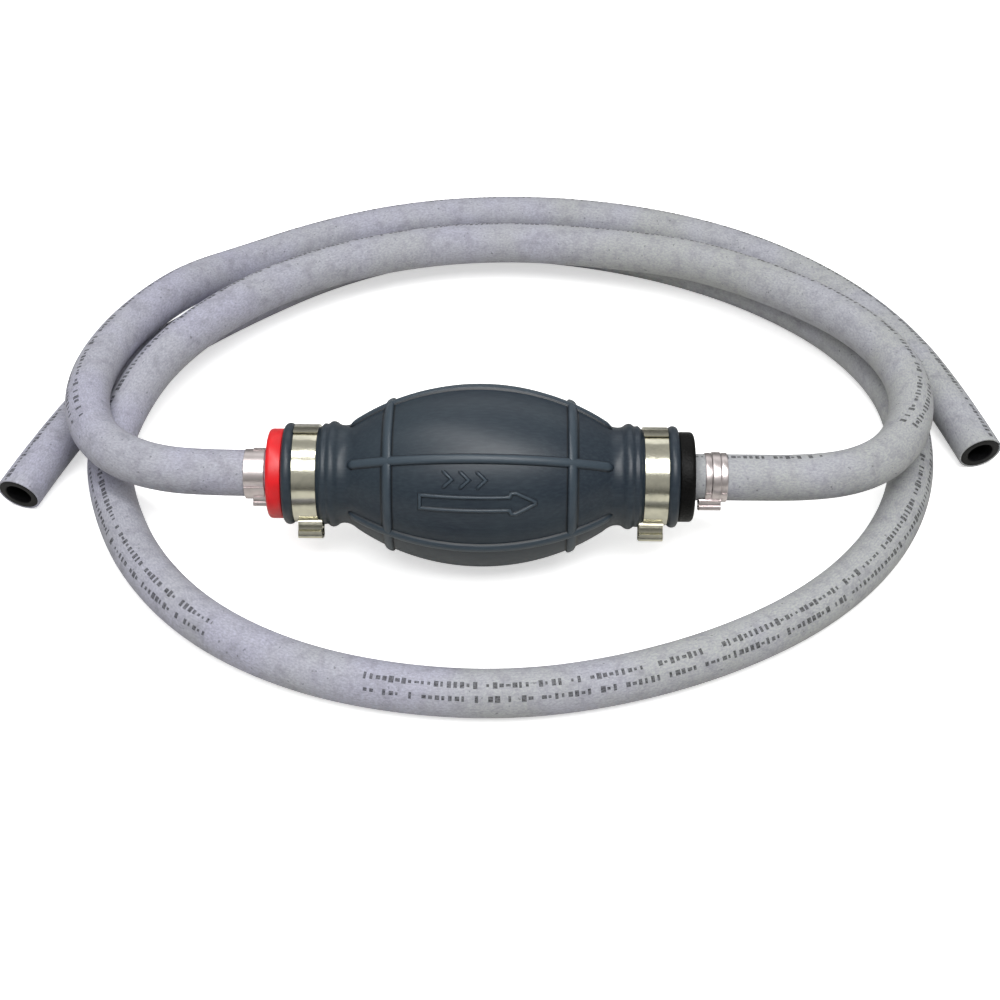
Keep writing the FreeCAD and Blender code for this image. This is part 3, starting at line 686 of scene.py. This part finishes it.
bright_steel = steel("bright rolled stainless steel", "#D3D0BE", "#BDBBAC", 0.14, 0.22, 0.22)
satin_steel = steel("satin rolled stainless steel", "#D6CDCD", "#C3BBBA", 0.28, 0.38, 0.15)
for clamp, node, finish in ((wide[0], "inlet_bulb_clamp", bright_steel),
                            (wide[1], "outlet_bulb_clamp", bright_steel),
                            (flat_narrow, "inlet_hose_clamp", satin_steel),
                            (ridged_narrow, "outlet_hose_clamp", satin_steel)):
    clamp.data.materials.append(finish)
    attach(clamp, "line")
    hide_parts(node)


# ---- Check valves -------------------------------------------------------------------------------
# Inside the end fittings, the acetal poppets, retainer and seat ring and the black seals keep
# their own shapes and only take a finish. The coil springs of bright wire are wound here, because
# they shorten as a poppet lifts.

def grained(name, one, two, scale, rough, metallic=0):
    """Acetal, seal rubber or wire: a colour and a sheen that wander a little from place to place."""
    made, tree = material(name)
    place = add(tree, "TexCoord").outputs["Object"]
    cloud = add(tree, "TexNoise", {0: place, "Scale": scale, "Detail": 3})
    shift = add(tree, "MapRange", {0: cloud, 1: 0.35, 2: 0.65})
    tint = add(tree, "Mix", {0: shift, 6: colour(one), 7: colour(two)}, data_type="RGBA")
    sheen = add(tree, "MapRange", {0: cloud, 1: 0.3, 2: 0.7, 3: rough - 0.06, 4: rough + 0.06})
    shader = add(tree, "BsdfPrincipled", {"Base Color": tint, "Roughness": sheen,
                                          "Metallic": metallic})
    add(tree, "OutputMaterial", {"Surface": shader})
    return made


acetal = grained("natural acetal", "#E4E2D8", "#D8D6CC", 300, 0.38)
seals = grained("black seal rubber", "#151516", "#1E1E20", 500, 0.55)
wire = grained("stainless spring wire", "#C8C8C4", "#B4B4B0", 700, 0.24, 1)
for name, finish in (("inlet_poppet", acetal), ("outlet_poppet", acetal),
                     ("inlet_spring_retainer", acetal), ("outlet_seat_ring", acetal),
                     ("inlet_poppet_seal", seals), ("outlet_poppet_seal", seals)):
    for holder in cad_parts[name].material_slots:
        holder.link = "OBJECT"
        holder.material = finish

# In millimetres: the wire's radius and how far a poppet lifts. A turn is wound in 28 steps.
WIRE, LIFT = 0.25, 2.5
STEPS = 28
for side, radius, turns in (("inlet", 3.0, 6), ("outlet", 4.2, 5)):
    low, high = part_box(side + "_valve_spring")
    long = high[0] - low[0]
    pitch = (long - 2 * WIRE * MM) / turns
    at = (low[0] + WIRE * MM, 0, (AXIS_Z + radius) * MM)
    bm = bmesh.new()
    bmesh.ops.create_circle(bm, segments=10, radius=WIRE * MM,
                            matrix=Matrix.Translation(at) @ Matrix.Rotation(math.pi / 2, 4, "X"))
    bmesh.ops.spin(bm, geom=bm.verts[:] + bm.edges[:], cent=(0, 0, AXIS_Z * MM), axis=(1, 0, 0),
                   dvec=(pitch / STEPS, 0, 0), angle=turns * math.tau, steps=turns * STEPS)
    bmesh.ops.holes_fill(bm, edges=[edge for edge in bm.edges if edge.is_boundary])
    spring = finished(side + "_coil_spring", bm, 50)
    spring.data.materials.append(wire)
    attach(spring, "line")
    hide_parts(side + "_valve_spring")
    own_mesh(spring)


# ---- Floor and light ----------------------------------------------------------------------------
# A plain table, white to the eye and duller to what lies on it, under a large soft light from
# the front, a narrow strip overhead and a weak fill behind, in a room that is dark at the horizon.

bm = bmesh.new()
bmesh.ops.create_grid(bm, x_segments=1, y_segments=1, size=3)
floor = finished("floor", bm)
floor.location.z = -0.0002
table, tree = material("plain white table")
seen = add(tree, "LightPath").outputs["Is Camera Ray"]
tint = add(tree, "Mix", {0: seen, 6: colour("#D2D1CC"), 7: colour("#F6F6F6")}, data_type="RGBA")
shine = add(tree, "Math", {0: seen, 1: 0.55}, operation="MULTIPLY")
shader = add(tree, "BsdfPrincipled", {"Base Color": tint, "Roughness": 0.9,
                                      "Emission Color": (1, 1, 1, 1), "Emission Strength": shine})
add(tree, "OutputMaterial", {"Surface": shader})
floor.data.materials.append(table)


def soft_light(name, place, towards, wide, deep, power):
    """A rectangular lamp, sized in metres, turned towards a point."""
    lamp = bpy.data.lights.new(name, "AREA")
    lamp.shape = "RECTANGLE"
    lamp.size, lamp.size_y = wide, deep
    lamp.energy = power
    made = bpy.data.objects.new(name, lamp)
    made.location = place
    made.rotation_euler = (Vector(towards) - Vector(place)).to_track_quat("-Z", "Y").to_euler()
    bpy.context.scene.collection.objects.link(made)


soft_light("front softbox", (0.1, -0.65, 1.25), (0, 0, 0.03), 1.5, 0.5, 14)
soft_light("overhead strip", (-0.1, -0.12, 1.3), (0, 0, 0.03), 1.4, 0.12, 8)
soft_light("back fill", (0.2, 1.2, 1.1), (0, 0.05, 0.03), 1.6, 0.7, 3)
world = bpy.data.worlds.new("pale room")
bpy.context.scene.world = world
world.use_nodes = True
tree = world.node_tree
tree.nodes.clear()
upwards = add(tree, "SeparateXYZ", {0: add(tree, "TexCoord").outputs["Generated"]}).outputs[2]
shade = add(tree, "ValToRGB", {0: add(tree, "MapRange", {0: upwards, 1: -1, 2: 1})})
ramp = shade.color_ramp
ramp.elements[0].position, ramp.elements[0].color = 0.5, (0.05, 0.05, 0.05, 1)
ramp.elements[1].position, ramp.elements[1].color = 1.0, (0.5, 0.5, 0.49, 1)
for spot, level in ((0.57, 0.2), (0.68, 0.42)):
    element = ramp.elements.new(spot)
    element.color = (level, level, level * 0.98, 1)
glow = add(tree, "Background", {0: shade, 1: 1.0})
add(tree, "OutputWorld", {"Surface": glow})
bpy.context.scene.view_settings.view_transform = "Standard"
